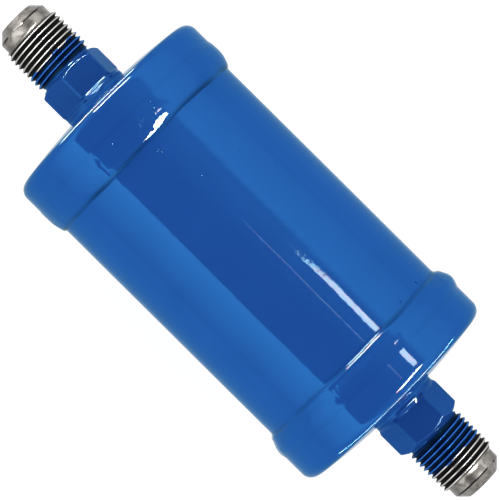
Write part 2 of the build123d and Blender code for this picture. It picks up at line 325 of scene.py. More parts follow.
# steel on the thread's crests: a painted highlight
STEEL_CREST_HIGHLIGHT = rgba(0.50, 0.485, 0.46)
STEEL_ROUGH = (0.42, 0.22)  # where it is smudged and clean
SMUDGED = (0.36, 0.62)  # levels of the smudges' noise, from full to none
RING_RELIEF = 0.012 * MM
# oily grime in the bottom of the thread, darkened as painted shade, and the colour of the line of painted
# shade at the chamfer's corner
GRIME_AND_SHADE = rgba(0.006, 0.006, 0.006)
GRIME_LEVEL = 0.08
GRIME_ROUGH = 0.4  # on top of the roughness of what it covers
WIRE = rgba(0.42, 0.41, 0.39)
WIRE_DULL = rgba(0.20, 0.19, 0.18)
ZINC = rgba(0.52, 0.53, 0.54)
ZINC_DULL = rgba(0.33, 0.32, 0.30)
# what is seen through the gaps of the weave: painted shade
SCREEN_GAP_SHADE = rgba(0.03, 0.03, 0.032)
SCREEN_PITCH = 0.9 * MM
SCREEN_ROUGH = (0.9, 0.32)  # in the gaps and on the wires
FELT = rgba(0.72, 0.70, 0.64)
FELT_SHADE = rgba(0.50, 0.47, 0.41)
FIBRE_SCALE = 2600.0
CLUMP_SCALE = 330.0
LAID_FLAT = (1.0, 0.35, 1.0)  # draws the fibres out along Y
BEADS = rgba(0.56, 0.47, 0.35)
BEADS_PALE = rgba(0.70, 0.62, 0.50)
BEADS_PER_METRE = 620.0
BEAD_RIM = (0.62, 0.36)  # from the binder to the bead, as shares of the spacing
BINDER = rgba(0.22, 0.17, 0.12)
DUST_SHARE = 0.35
DUST_SCALE = 1500.0
RUBBER = rgba(0.022, 0.022, 0.023)
RUBBER_BLOOM = rgba(0.0412, 0.0412, 0.041)

THREAD_FADE_IN = (-0.2 * MM, 0.4 * MM)  # from the start of the thread
THREAD_FADE_OUT = (-0.2 * MM, -0.6 * MM)  # from the end of the thread
VALLEY_SHADE_RADII = (7.85 * MM, 7.60 * MM)  # where the grime and painted shade start, and where they cover all
# where the painted highlight on the crests starts, and where it is full
CREST_HIGHLIGHT_RADII = (7.72 * MM, 7.86 * MM)
CORNER_SHADE_LINE = (0.30 * MM, 0.14 * MM)  # how far the line of painted shade on the chamfer's corner reaches, faint and full
LINE_BREAK_SCALE = 230.0
LINE_BREAKS = (0.56, 0.50)  # levels of noise, from a break to the full line


def new_material(name):
    """A material, its Principled shader and the piece's own coordinates."""
    material = bpy.data.materials.new(name)
    material.use_nodes = True
    nodes = material.node_tree.nodes
    return material, nodes["Principled BSDF"], nodes.new("ShaderNodeTexCoord").outputs["Object"]


def set_bump(shader, height, distance):
    """Bumps in the surface, a distance high for a height of 1."""
    bump = after(height, "ShaderNodeBump", {"Height": height, "Distance": distance})
    set_inputs(shader, {"Normal": bump["Normal"]})


def new_gloss_paint(name, tint, wave_size):
    """Thick paint: a blue sheen, a little of a tint in its reflections, and a faint clear film on top."""
    material, shader, position = new_material(name)
    wet = place_group(WET_PAINT, position, {"Wave size": wave_size})
    set_inputs(shader, {
        "Metallic": PAINT_SHEEN,
        "Specular IOR Level": PAINT_LEVEL,
        "Specular Tint": tint,
        "Coat Weight": PAINT_FILM,
        "Coat Roughness": PAINT_FILM_ROUGH,
    })
    set_bump(shader, wet["Height"], PAINT_RELIEF)
    return material, shader, position, wet["Depth"]


def blue_paint():
    """Paint of the can. It is darker where it has pooled, as the mesh's own attribute says, and this dark
    also paints in the shade at the bead's toe and crease.
    """
    material, shader, _, depth = new_gloss_paint("blue_paint", PAINT_REFLECTION, 9 * MM)
    pool_shade_share = after(depth, "ShaderNodeAttribute", {}, attribute_name="pool_shade")["Fac"]
    colour = mix_colour(depth, PAINT_DEEP, PAINT_BLUE)
    set_inputs(shader, {
        "Base Color": mix_colour(pool_shade_share, colour, PAINT_POOL_SHADE),
        "Roughness": between(depth, *PAINT_ROUGH),
    })
    return material


def thread_shade_and_highlight(place):
    """How far into the bottom of the thread a place is, and how far up on its crests, from 0 to 1: where the
    painted shade and the painted highlight go.
    """
    start, end = BOSS_FACE_X + THREAD_START, BOSS_FACE_X + THREAD_END
    after_start = ramp(place["Along"], *(start + reach for reach in THREAD_FADE_IN))
    before_end = ramp(place["Along"], *(end + reach for reach in THREAD_FADE_OUT))
    in_thread = times(after_start, before_end)
    valley_shade = times(ramp(place["Radius"], *VALLEY_SHADE_RADII), in_thread)
    crest = times(ramp(place["Radius"], *CREST_HIGHLIGHT_RADII), in_thread)
    return valley_shade, crest


def fitting_paint():
    """The can's paint where it was sprayed over the fittings, darker than on the can as painted shade, paler
    on the crests as a painted highlight, and nearly black in the bottom of the thread with grime and painted
    shade.
    """
    material, shader, position, depth = new_gloss_paint("fitting_paint", FITTING_REFLECTION, 4 * MM)
    valley_shade, crest = thread_shade_and_highlight(place_group(ROUND_AXIS, position))
    colour = mix_colour(depth, FITTING_SHADED_DEEP, FITTING_SHADED_BLUE)
    # paler crests: a painted highlight
    colour = mix_colour(crest, colour, FITTING_CREST_HIGHLIGHT)
    # nearly black in the valleys: grime with painted shade
    set_inputs(shader, {
        "Base Color": mix_colour(valley_shade, colour, FITTING_GRIME_AND_SHADE),
        "Roughness": maths("MULTIPLY_ADD", valley_shade, GRIME_ROUGH, between(depth, *PAINT_ROUGH)),
    })
    return material


def turned_steel():
    """Bare turned steel: smudged, brighter on the crests as a painted highlight, grime and painted shade in
    the bottom of the thread, and a broken line of painted shade at the chamfer.
    """
    material, shader, position = new_material("turned_steel")
    turned = place_group(TURNING, position)
    place = place_group(ROUND_AXIS, position)
    valley_shade, crest = thread_shade_and_highlight(place)
    steel = mix_colour(ramp(turned["Smudge"], *SMUDGED), STEEL_DARK, STEEL)
    # brighter steel on the crests: a painted highlight
    steel = mix_colour(crest, steel, STEEL_CREST_HIGHLIGHT)
    # a broken line of painted shade round the chamfer's corner
    from_corner = maths("ABSOLUTE", maths("SUBTRACT", place["Along"], BOSS_FACE_X + NOSE_END))
    unbroken = ramp(noise_value(position, LINE_BREAK_SCALE), *LINE_BREAKS)
    line = times(ramp(from_corner, *CORNER_SHADE_LINE), unbroken)
    worn = between(turned["Smudge"], *STEEL_ROUGH)
    # grime and painted shade in the valleys and on the chamfer's corner line
    set_inputs(shader, {
        "Base Color": mix_colour(maths("MAXIMUM", valley_shade, line), steel, GRIME_AND_SHADE),
        "Metallic": maths("SUBTRACT", 1.0, valley_shade),
        "Specular IOR Level": GRIME_LEVEL,
        "Roughness": maths("MULTIPLY_ADD", valley_shade, GRIME_ROUGH, worn),
    })
    set_bump(shader, turned["Rings"], RING_RELIEF)
    return material


def new_worn(name, cloud_size, dull, bright, rough, relief, metallic):
    """A softly clouded and scuffed finish. rough is its roughness where it is dull and where it is bright."""
    material, shader, position = new_material(name)
    worn = place_group(WORN, position, {"Size": cloud_size})
    set_inputs(shader, {
        "Base Color": mix_colour(worn["Worn"], dull, bright),
        "Metallic": metallic,
        "Roughness": between(worn["Worn"], *rough),
    })
    set_bump(shader, worn["Grain"], relief)
    return material


def drawn_wire():
    """Bright spring steel, finely scuffed."""
    return new_worn("drawn_spring_wire", 2.5 * MM, WIRE_DULL, WIRE, (0.45, 0.25), 0.01 * MM, 1.0)


def pressed_plate():
    """Zinc-plated pressings: pale, softly clouded, and scuffed where they rub."""
    return new_worn("plated_pressing", 6 * MM, ZINC_DULL, ZINC, (0.5, 0.3), 0.012 * MM, 1.0)


def moulded_rubber():
    """A black moulded ring with a pale bloom and a faint grain."""
    return new_worn("moulded_gasket_rubber", 5 * MM, RUBBER, RUBBER_BLOOM, (0.5, 0.75), 0.02 * MM, 0.0)


def woven_wire():
    """A fine plain weave of round wires along Y and Z, with painted shade in the gaps between them."""
    material, shader, position = new_material("woven_screen_wire")
    weave = place_group(WEAVE, position, {"Pitch": SCREEN_PITCH})
    metal = mix_colour(place_group(WORN, position)["Worn"], WIRE_DULL, WIRE)
    set_inputs(shader, {
        "Base Color": mix_colour(weave["Wire"], SCREEN_GAP_SHADE, metal),
        "Metallic": weave["Wire"],
        "Roughness": between(weave["Wire"], *SCREEN_ROUGH),
    })
    set_bump(shader, weave["Height"], 0.2 * MM)
    return material


def pressed_felt():
    """A pad of pressed glass fibre: pale, matted and soft."""
    material, shader, position = new_material("pressed_fibre_pad")
    strands = after(position, "ShaderNodeMapping", {"Vector": position, "Scale": LAID_FLAT})[0]
    fibre = noise_value(strands, FIBRE_SCALE, 4.0, 0.7, 2.5)
    clump = noise_value(position, CLUMP_SCALE, 3.0, 0.6)
    shade = times(ramp(fibre, 0.3, 0.6), ramp(clump, 0.25, 0.6))
    colour = mix_colour(shade, FELT_SHADE, FELT)
    set_inputs(shader, {"Base Color": colour, "Roughness": 0.95, "Sheen Weight": 0.2})
    set_bump(shader, maths("ADD", fibre, clump), 0.2 * MM)
    return material


def bonded_beads():
    """A core of round desiccant beads stuck together, each its own shade, with darker binder between them."""
    material, shader, position = new_material("bonded_desiccant_beads")
    packing = {"Vector": position, "Scale": BEADS_PER_METRE, "Randomness": 0.75}
    cells = after(position, "ShaderNodeTexVoronoi", packing)
    bead = ramp(cells["Distance"], *BEAD_RIM)
    own_shade = mix_colour(red_of(cells["Color"]), BEADS, BEADS_PALE)
    dust = ramp(noise_value(position, DUST_SCALE, 3.0, 0.6), 0.35, 0.75)
    shade = mix_colour(times(dust, DUST_SHARE), own_shade, BEADS_PALE)
    set_inputs(shader, {"Base Color": mix_colour(bead, BINDER, shade), "Roughness": 0.9})
    set_bump(shader, maths("SQRT", maths("SUBTRACT", 1.0, cells["Distance"])), 0.6 * MM)
    return material


BLUE_PAINT = blue_paint()
FITTING_PAINT = fitting_paint()
TURNED_STEEL = turned_steel()

# what the frame's own pieces inside the can are made of
INNER_FINISHES = (
    (drawn_wire(), ("core_spring", "inlet_centring_ring", "outlet_centring_ring")),
    (pressed_plate(), ("pressure_plate", "outlet_cup")),
    (woven_wire(), ("inlet_screen", "outlet_screen")),
    (pressed_felt(), ("inlet_pad", "outlet_pad")),
    (bonded_beads(), ("desiccant_core",)),
    (moulded_rubber(), ("outlet_gasket",)),
)


# ==== Turned meshes ====


def add_object(name, data):
    made = bpy.data.objects.new(name, data)
    bpy.context.scene.collection.objects.link(made)
    return made


def finish_piece(name, mesh, materials, node, sharp=40, choose=None):
    """Puts a mesh in the scene as a piece that rides on the body and stands for the CAD node.

    choose gives the number of a face's material, by the face's middle.
    """
    work = bmesh.new()
    work.from_mesh(mesh)
    bmesh.ops.remove_doubles(work, verts=work.verts, dist=1e-7)
    bmesh.ops.dissolve_degenerate(work, edges=work.edges, dist=1e-7)
    bmesh.ops.recalc_face_normals(work, faces=work.faces)
    if work.calc_volume(signed=True) < 0:
        bmesh.ops.reverse_faces(work, faces=work.faces)
    work.to_mesh(mesh)
    work.free()
    mesh.materials.clear()
    for material in materials:
        mesh.materials.append(material)
    chosen = [choose(face.center) if choose else 0 for face in mesh.polygons]
    mesh.polygons.foreach_set("material_index", chosen)
    mesh.shade_smooth()
    mesh.set_sharp_from_angle(angle=math.radians(sharp))
    piece = add_object(name, mesh)
    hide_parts(node)
    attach(piece, "root")
    return piece


def painted_piece(name, mesh, node):
    return finish_piece(name, mesh, [BLUE_PAINT], node)


def grid_mesh(name, points):
    """A mesh from points[row, column, xyz]. Both rows and columns close on themselves."""
    number = np.arange(points.shape[0] * points.shape[1]).reshape(points.shape[:2])
    beside = np.roll(number, -1, axis=1)
    corners = [number, beside, np.roll(beside, -1, axis=0), np.roll(number, -1, axis=0)]
    mesh = bpy.data.meshes.new(name)
    mesh.from_pydata(points.reshape(-1, 3).tolist(), [], np.stack(corners, axis=-1).reshape(-1, 4).tolist())
    return mesh


def joined(mesh, other):
    """The first mesh with the faces of the other one added."""
    work = bmesh.new()
    work.from_mesh(mesh)
    work.from_mesh(other)
    work.to_mesh(mesh)
    work.free()
    return mesh


def round_angles(count):
    return np.linspace(0, 2 * math.pi, count, endpoint=False)


def turned_points(x, radius, angles):
    """Points about the X axis, by row of x. radius is one number or a value or a row for each x.

    Angle 0 is up and 90 is +Y.
    """
    if np.ndim(radius) < 2:
        radius = np.broadcast_to(radius, len(x))[:, None]
    radius = np.broadcast_to(radius, (len(x), len(angles)))
    x = np.broadcast_to(np.asarray(x)[:, None], radius.shape)
    return np.stack([x, radius * np.sin(angles), radius * np.cos(angles)], axis=-1)


def field(points, scale, seed):
    """Smooth noise from -1 to 1 at each point, for features about scale metres across."""
    flat = points.reshape(-1, 3) / scale
    values = [noise.noise(Vector(p) + Vector((seed, seed, seed))) for p in flat]
    return np.array(values).reshape(points.shape[:-1])


def spread(start, end, step):
    """Even steps from start to end, none longer than a step."""
    return np.linspace(start, end, max(1, math.ceil(abs(end - start) / step)) + 1)


def arc_points(centre, radius, start, end, count):
    """Points of an arc in the section plane, by angle from outwards (0) towards +X (90)."""
    turn = np.radians(np.linspace(start, end, count))
    return [(centre[0] + radius * math.sin(t), centre[1] + radius * math.cos(t)) for t in turn]


def grown_mesh(name, tree, values, start=None):
    """The plain mesh that a geometry node tree makes with these values, from a starting mesh if given."""
    holder = add_object(name, start or bpy.data.meshes.new(name))
    modifier = holder.modifiers.new(name, "NODES")
    modifier.node_group = tree
    for item in tree.interface.items_tree:
        if item.in_out == "INPUT" and item.name in values:
            modifier[item.identifier] = values[item.name]
    graph = bpy.context.evaluated_depsgraph_get()
    mesh = bpy.data.meshes.new_from_object(holder.evaluated_get(graph))
    bpy.data.objects.remove(holder)
    return mesh


def new_growth(name, inputs):
    """A geometry node tree that puts out a mesh in a material that it is given."""
    return new_tree(name, "GeometryNodeTree", inputs | {"Material": MATERIAL}, {"Geometry": GEOMETRY})


def end_growth(given, result, geometry):
    """Makes the instances of a geometry node tree real, in its material, and puts them out."""
    real = after(geometry, "GeometryNodeRealizeInstances", {0: geometry})[0]
    done = after(real, "GeometryNodeSetMaterial", {"Geometry": real, "Material": given["Material"]})[0]
    set_inputs(result, {"Geometry": done})


# ==== Can ====

ALONG_STEP = 1.5 * MM
BORE_STEP = 6 * MM
SKIRT_STEP = 0.8 * MM
DOME_STEP = 1.4 * MM
CORNER_STEPS = 14
INNER_CORNER_STEPS = 6


def waved(points):
    """The points of a can surface, moved in and out a little."""
    move = 1 + WAVE_DEPTH * field(points, WAVE_SIZE, 3.1) / np.linalg.norm(points[..., 1:], axis=-1)
    points[..., 1:] *= move[..., None]
    return points


def make_shell():
    """The tube, with its open bore, and the grit and bubbles under its paint."""
    angles = round_angles(COLUMNS)
    outside = waved(turned_points(spread(-SHELL_END, SHELL_END, ALONG_STEP), SHELL_R, angles))
    inside = turned_points(spread(SHELL_END, -SHELL_END, BORE_STEP), SHELL_R - SHELL_WALL, angles)
    mesh = grid_mesh("shell_tube", np.concatenate([outside, inside]))
    mesh = with_nibs(mesh, SHELL_NIBS + stray_nibs(), lambda along, turn: SHELL_R)
    return painted_piece("shell_tube", mesh, "shell")


def dome_x(radius, depth=0.0):
    """How far along X the dome is at a radius, or a surface at a depth under it."""
    return DOME_APEX_X - DOME_R + math.sqrt((DOME_R - depth) ** 2 - radius**2)


def cap_section(cap_r):
    """A cap's section towards +X: along the skirt and round the corner and dome, then back inside."""
    wall = cap_r - SHELL_R - CAP_CLEARANCE
    corner_r = CAP_CORNER_R
    reach = DOME_R - corner_r
    centre = (DOME_APEX_X - DOME_R + math.sqrt(reach**2 - (cap_r - corner_r) ** 2), cap_r - corner_r)
    lean = math.degrees(math.acos((cap_r - corner_r) / reach))
    outside = [(x, cap_r) for x in spread(CAP_RIM_X, centre[0], SKIRT_STEP)[:-1]]
    outside += arc_points(centre, corner_r, 0, lean, CORNER_STEPS)
    dome = spread(outside[-1][1], SPIGOT_HOLE_R, DOME_STEP)[1:]
    outside += [(min(dome_x(r), BOSS_FACE_X), r) for r in dome]
    inside = [(min(dome_x(r, wall), BOSS_FACE_X - wall), r) for r in dome[::-1]]
    inside += arc_points(centre, corner_r - wall, lean, 0, INNER_CORNER_STEPS)
    inside += [(CAP_RIM_X, cap_r - wall)]
    return np.array(outside), np.array(inside)


def make_cap(name, node, cap_r, direction):
    """A drawn cap with its skirt over the end of the tube and a hole for the fitting's spigot."""
    outside, inside = cap_section(cap_r)
    section = np.concatenate([outside, inside])
    points = turned_points(section[:, 0] * direction, section[:, 1], round_angles(COLUMNS))
    points[: len(outside)] = waved(points[: len(outside)])
    return painted_piece(name, grid_mesh(name, points), node)


# ---- Nibs: grit and bubbles under the paint ----

# along X in mm, degrees round from up towards +Y, and width in mm
SHELL_NIBS = ((32.6, 55, 0.75), (33.2, 59, 0.5), (33.0, 37, 0.6), (-10.3, 45, 0.4), (-20.0, 9.5, 0.5),
              (-23.6, 1, 0.35), (1.2, 21, 0.35), (-30.4, 4, 0.6), (-31.2, 3, 0.6))
INLET_BEAD_NIBS = ((-40.4, 17, 0.8), (-38.6, 16, 0.9), (-37.9, 15, 0.6), (-39.2, 11, 0.4), (-38.6, 9, 0.4),
                   (-39.4, -9.5, 0.8), (-40.8, -14, 0.5))
STRAY_NIBS = 26
STRAY_SEED = 7
STRAY_REACH = SHELL_END / MM - 14  # mm either way from the middle
STRAY_WIDTHS = (0.15, 0.35)  # mm


def make_nib_tree():
    """Geometry nodes that stand a low round bump on each vertex of a mesh, as wide as its width attribute."""
    inputs = {"Geometry": GEOMETRY, "Relief": 0.75, "Least stretch": 0.7, "Most stretch": 1.3, "Seed": 4}
    tree, given, result = new_growth("paint_nibs", inputs)
    spots = after(given["Geometry"], "GeometryNodeMeshToPoints", {"Mesh": given["Geometry"]})[0]
    _, y, z = split(tree.nodes.new("GeometryNodeInputPosition").outputs[0])
    outward = after(y, "ShaderNodeCombineXYZ", {1: y, 2: z})[0]
    facing = after(outward, "FunctionNodeAlignRotationToVector", {"Vector": outward}, axis="Z")[0]
    named = {"Name": "width"}
    width = add_node(tree, "GeometryNodeInputNamedAttribute", named, data_type="FLOAT").outputs[0]
    stretch = {2: given["Least stretch"], 3: given["Most stretch"], "Seed": given["Seed"]}
    uneven = add_node(tree, "FunctionNodeRandomValue", stretch, data_type="FLOAT").outputs[1]
    stretched = {0: times(width, uneven), 1: width, 2: times(width, given["Relief"])}
    size = after(width, "ShaderNodeCombineXYZ", stretched)[0]
    ball = add_node(tree, "GeometryNodeMeshIcoSphere", {"Radius": 0.5, "Subdivisions": 3}).outputs[0]
    stood = {"Points": spots, "Instance": ball, "Rotation": facing, "Scale": size}
    end_growth(given, result, after(spots, "GeometryNodeInstanceOnPoints", stood)[0])
    return tree


NIBS = make_nib_tree()


def with_nibs(mesh, spots, radius):
    """The mesh with a nib at each spot, on a surface whose radius(place along, degrees round) is given."""
    places = []
    for along, degrees, _ in spots:
        reach = radius(along * MM, degrees)
        turn = math.radians(degrees)
        places.append((along * MM, reach * math.sin(turn), reach * math.cos(turn)))
    carrier = bpy.data.meshes.new("nib_spots")
    carrier.from_pydata(places, [], [])
    widths = [width * MM for _, _, width in spots]
    carrier.attributes.new("width", "FLOAT", "POINT").data.foreach_set("value", widths)
    return joined(mesh, grown_mesh("nibs", NIBS, {"Material": BLUE_PAINT}, carrier))


def stray_nibs():
    """Spots for fine grit anywhere on the tube between the beads."""
    chance = np.random.default_rng(STRAY_SEED)
    along = chance.uniform(-STRAY_REACH, STRAY_REACH, STRAY_NIBS)
    turn = chance.uniform(0, 360, STRAY_NIBS)
    width = chance.uniform(*STRAY_WIDTHS, STRAY_NIBS)
    return tuple(zip(along.tolist(), turn.tolist(), width.tolist()))


# ---- Weld beads ----

# points of the face in mm, along X and from the axis, from the toe on the tube to the toe on the cap
INLET_BEAD_FACE = ((33.9, 27.0), (34.1, 27.3), (34.5, 27.62), (35.2, 27.9), (36.2, 28.22), (37.3, 28.44),
                   (38.6, 28.54), (39.8, 28.52), (41.0, 28.42), (41.8, 28.26), (42.2, 28.18))
OUTLET_BEAD_FACE = ((33.7, 27.0), (34.1, 27.03), (34.35, 27.14), (34.55, 27.42), (34.8, 27.74),
                    (35.05, 27.88), (35.7, 28.03), (36.4, 28.34), (37.3, 28.68), (38.3, 28.9), (39.3, 28.88),
                    (40.2, 28.74), (40.9, 28.6))

# how dark the paint pools at the toe, as painted shade there too, and how far the crown is lifted towards +Y
# and towards -Y
INLET_BEAD_SHAPE = (1.0, 0.12 * MM, -0.3 * MM)
OUTLET_BEAD_SHAPE = (0.4, 0.55 * MM, 0.0)

BEAD_ROWS = 44
BEAD_COLUMNS = 900
FACE_SMOOTHINGS = 3
LUMPS = ((7 * MM, 0.12 * MM, 11.0), (2.2 * MM, 0.06 * MM, 5.0))  # size, height and seed
RIPPLES = (0.8 * MM, 0.026 * MM, 8.0)  # the same, drawn out along X
RIPPLE_STRETCH = (0.6, 1.0, 1.0)
TOE_SWAY = 0.7 * MM
TOE_SWAY_SIZE = 9 * MM
ROOT_DEPTH = 0.05 * MM  # how far the bead's hidden side is sunk in what it joins
CROWN_SPREADS = (math.radians(30), math.radians(45))  # how far round the crown's lifts reach
CROWN_POWER = 1.3
TOE_POOL_SHADE = (0.06, 0.09)  # where paint pools beside the tube, darkened as painted shade, and how widely, as shares of the face
# where the crease by the cap is darkened, as pooled paint and painted shade, and how widely
CAP_CREASE_SHADE = (1.0, 0.12)
CAP_CREASE_SHADING = 0.12
EVEN_POOL_SHADE, UNEVEN_POOL_SHADE = 0.7, 1.1


def smooth_face(face):
    """A bead's face as a smooth curve through its points, in even steps."""
    face = np.array(face) * MM
    length = np.cumsum(np.concatenate([[0], np.hypot(*np.diff(face, axis=0).T)]))
    at = np.linspace(0, length[-1], BEAD_ROWS)
    soft = np.stack([np.interp(at, length, face[:, 0]), np.interp(at, length, face[:, 1])], axis=1)
    for _ in range(FACE_SMOOTHINGS):
        soft[1:-1] = (soft[:-2] + 2 * soft[1:-1] + soft[2:]) / 4
    return soft


def hill(values, middle, width):
    """1 at the middle, falling to nothing about two widths away."""
    return np.exp(-(((values - middle) / width) ** 2))


def make_bead(name, node, face, cap_r, direction, shape, nibs=()):
    """A weld bead under thick paint: its toes wander, and its face has slow lumps and faint ripples."""
    pool_shading, near_lift, far_lift = shape
    section = smooth_face(face)
    angles = round_angles(BEAD_COLUMNS)
    along = np.linspace(0, 1, BEAD_ROWS)[:, None]
    points = turned_points(section[:, 0] * direction, section[:, 1], angles)
    slow, quick = (field(points, size, seed) for size, _, seed in LUMPS)
    fine = field(points * np.array(RIPPLE_STRETCH), RIPPLES[0], RIPPLES[2])
    lift = np.sin(math.pi * along) * (LUMPS[0][1] * slow + LUMPS[1][1] * quick + RIPPLES[1] * fine)
    towards_y = hill(angles, math.pi / 2, CROWN_SPREADS[0])
    away_from_y = hill(angles, 3 * math.pi / 2, CROWN_SPREADS[1])
    crown = np.sin(math.pi * along) ** CROWN_POWER
    lift = lift + crown * (near_lift * towards_y + far_lift * away_from_y)
    sway = TOE_SWAY * field(turned_points([0.0], SHELL_R, angles), TOE_SWAY_SIZE, 2.0)
    points[..., 0] += direction * sway * (1 - along) ** 2
    radius = np.linalg.norm(points[..., 1:], axis=-1)
    points[..., 1:] *= ((radius + lift) / radius)[..., None]
    root_x = np.array([section[-1, 0], CAP_RIM_X, CAP_RIM_X, section[0, 0]])
    root_r = np.array([cap_r, cap_r, SHELL_R, SHELL_R]) - ROOT_DEPTH
    root = turned_points(root_x * direction, root_r, angles)
    mesh = grid_mesh(name, np.concatenate([points, root]))
    # darker paint at the toe and in the crease by the cap: pooled paint, and painted shade there too
    toe = pool_shading * hill(along, *TOE_POOL_SHADE) * (EVEN_POOL_SHADE + UNEVEN_POOL_SHADE * slow)
    crease = CAP_CREASE_SHADING * hill(along, *CAP_CREASE_SHADE)
    pool_shade = np.concatenate([np.clip(toe + crease, 0, 1), np.zeros((len(root), BEAD_COLUMNS))])
    mesh.attributes.new("pool_shade", "FLOAT", "POINT").data.foreach_set("value", pool_shade.ravel())

    def surface(at, turn):
        column = points[:, round(turn % 360 / 360 * BEAD_COLUMNS) % BEAD_COLUMNS]
        return np.interp(abs(at), np.abs(column[:, 0]), np.linalg.norm(column[:, 1:], axis=-1))

    if nibs:
        mesh = with_nibs(mesh, nibs, surface)
    return painted_piece(name, mesh, node)


# ==== Flare fittings ====

BRAZE_LEG = 0.55 * MM
BRAZE_OVERLAP = 0.1 * MM
BRAZE_STEPS = 9
BRAZE_COLUMNS = 180
NOSE_COLUMNS = 192

INLET_HEX_TURN = math.radians(14.7)
INLET_PAINT_END, OUTLET_PAINT_END = 65.2 * MM, 68.2 * MM  # from the middle of the drier
INLET_FIRST_TURN, OUTLET_FIRST_TURN = 10.585 * MM, 10.205 * MM  # from the boss face

# where the flange starts to come down to the hexagon, the run of each of its two equal steps, how ragged
# the run is, and how far the second step starts after the first
INLET_SHOULDER = (1.30 * MM, 0.26 * MM, 0.04, 0.83 * MM)
OUTLET_SHOULDER = (1.2 * MM, 1.0 * MM, 0.45, 0.0)
SHOULDER_REACH = (-0.1 * MM, 2.4 * MM)  # what both shoulders lie in, from where they start
SHOULDER_BEND = 0.13 * MM
SLOW_RAG_SIZE = 2.5 * MM
QUICK_RAG_SIZE = 0.9 * MM
FLANGE_LUMP = 0.05 * MM
FLANGE_LUMP_SIZE = 3 * MM
FLANGE_EDGE_DROP = 0.25 * MM
HEX_SIDE_STEPS = 32
HEX_BLEND = 0.25 * MM
HEX_BEVEL = 1.6 * MM  # what the chamfer lies in, from the end of the hexagon
FINE_STEP = 0.06 * MM


def make_braze(name, node, direction):
    """The fillet of filler between the fitting's flange and the cap."""
    turn = np.radians(np.linspace(180, 270, BRAZE_STEPS))
    x = BOSS_FACE_X + BRAZE_LEG * (1 + np.sin(turn))
    radius = FLANGE_R + BRAZE_LEG * (1 + np.cos(turn))
    x = np.concatenate([x, [BOSS_FACE_X + BRAZE_OVERLAP]])
    radius = np.concatenate([radius, [FLANGE_R - BRAZE_OVERLAP]])
    points = turned_points(x * direction, radius, round_angles(BRAZE_COLUMNS))
    return painted_piece(name, grid_mesh(name, points), node)


def soft_min(first, second, blend):
    """The lesser of two values, rounded over where they cross."""
    near = np.clip(0.5 + 0.5 * (second - first) / blend, 0, 1)
    return second * (1 - near) + first * near - blend * near * (1 - near)


def eased(distance):
    """0 before and the distance itself after 0, with the bend between them rounded."""
    bend = (distance + SHOULDER_BEND) ** 2 / (4 * SHOULDER_BEND)
    return np.where(distance < -SHOULDER_BEND, 0, np.where(distance > SHOULDER_BEND, distance, bend))


def hexagon_radius(angles, turn):
    """The radius of a hexagon with rounded edges, whose flat is turned from up towards +Y."""
    from_edge = (angles - turn) % (math.pi / 3) - math.pi / 6
    edge_centre = (HEX_FLAT_R - HEX_EDGE_R) / math.cos(math.pi / 6)
    flat = HEX_FLAT_R / np.cos(math.pi / 6 - np.abs(from_edge))
    inside = np.maximum(HEX_EDGE_R**2 - (edge_centre * np.sin(from_edge)) ** 2, 0)
    rounded = edge_centre * np.cos(from_edge) + np.sqrt(inside)
    tangent = math.asin(min(1, HEX_EDGE_R * math.sin(math.pi / 6) / edge_centre))
    return np.where(np.abs(from_edge) < tangent, np.minimum(rounded, flat), flat)


def hexagon_angles(turn):
    """Angles round a hexagon, closest together where its edges are."""
    sextant = np.linspace(-1, 1, HEX_SIDE_STEPS + 1)[:-1]
    sextant = np.sign(sextant) * np.abs(sextant) ** 0.8 * math.pi / 6
    return np.concatenate([sextant + turn + k * math.pi / 3 for k in range(6)])


def make_block_rows(angles, hexagon, shoulder):
    """The flange and hexagon, as distances from the boss face and a row of radii for each."""
    start, run, rag, second_start = shoulder
    first_stop, last_stop = (start + reach for reach in SHOULDER_REACH)
    distances = np.concatenate([
        spread(0.0, FLANGE_EDGE_R, FINE_STEP),
        spread(FLANGE_EDGE_R, first_stop, 0.3 * MM)[1:],
        spread(first_stop, last_stop, 0.05 * MM)[1:],
        spread(last_stop, HEX_END - HEX_BEVEL, 0.6 * MM)[1:],
        spread(HEX_END - HEX_BEVEL, HEX_END, FINE_STEP)[1:],
    ])
    ring = turned_points([0.0], FLANGE_R, angles)
    run = run * (1 + rag * (field(ring, SLOW_RAG_SIZE, 4.0) + 0.5 * field(ring, QUICK_RAG_SIZE, 6.0)))
    s = distances[:, None]
    step = 0
    for step_start in (start, start + second_start):
        step = step + (eased(s - step_start) - eased(s - step_start - run)) / run / 2
    cone = HEX_FACE_R + (HEX_END - s) / math.tan(HEX_CHAMFER)
    block = soft_min(hexagon, cone, HEX_BLEND)
    lump = field(turned_points(distances, FLANGE_R, angles), FLANGE_LUMP_SIZE, 9.0)
    edge = FLANGE_EDGE_DROP * np.clip(1 - s / FLANGE_EDGE_R, 0, 1) ** 2
    flange = FLANGE_R - edge + FLANGE_LUMP * lump
    return distances, flange * (1 - step) + block * step


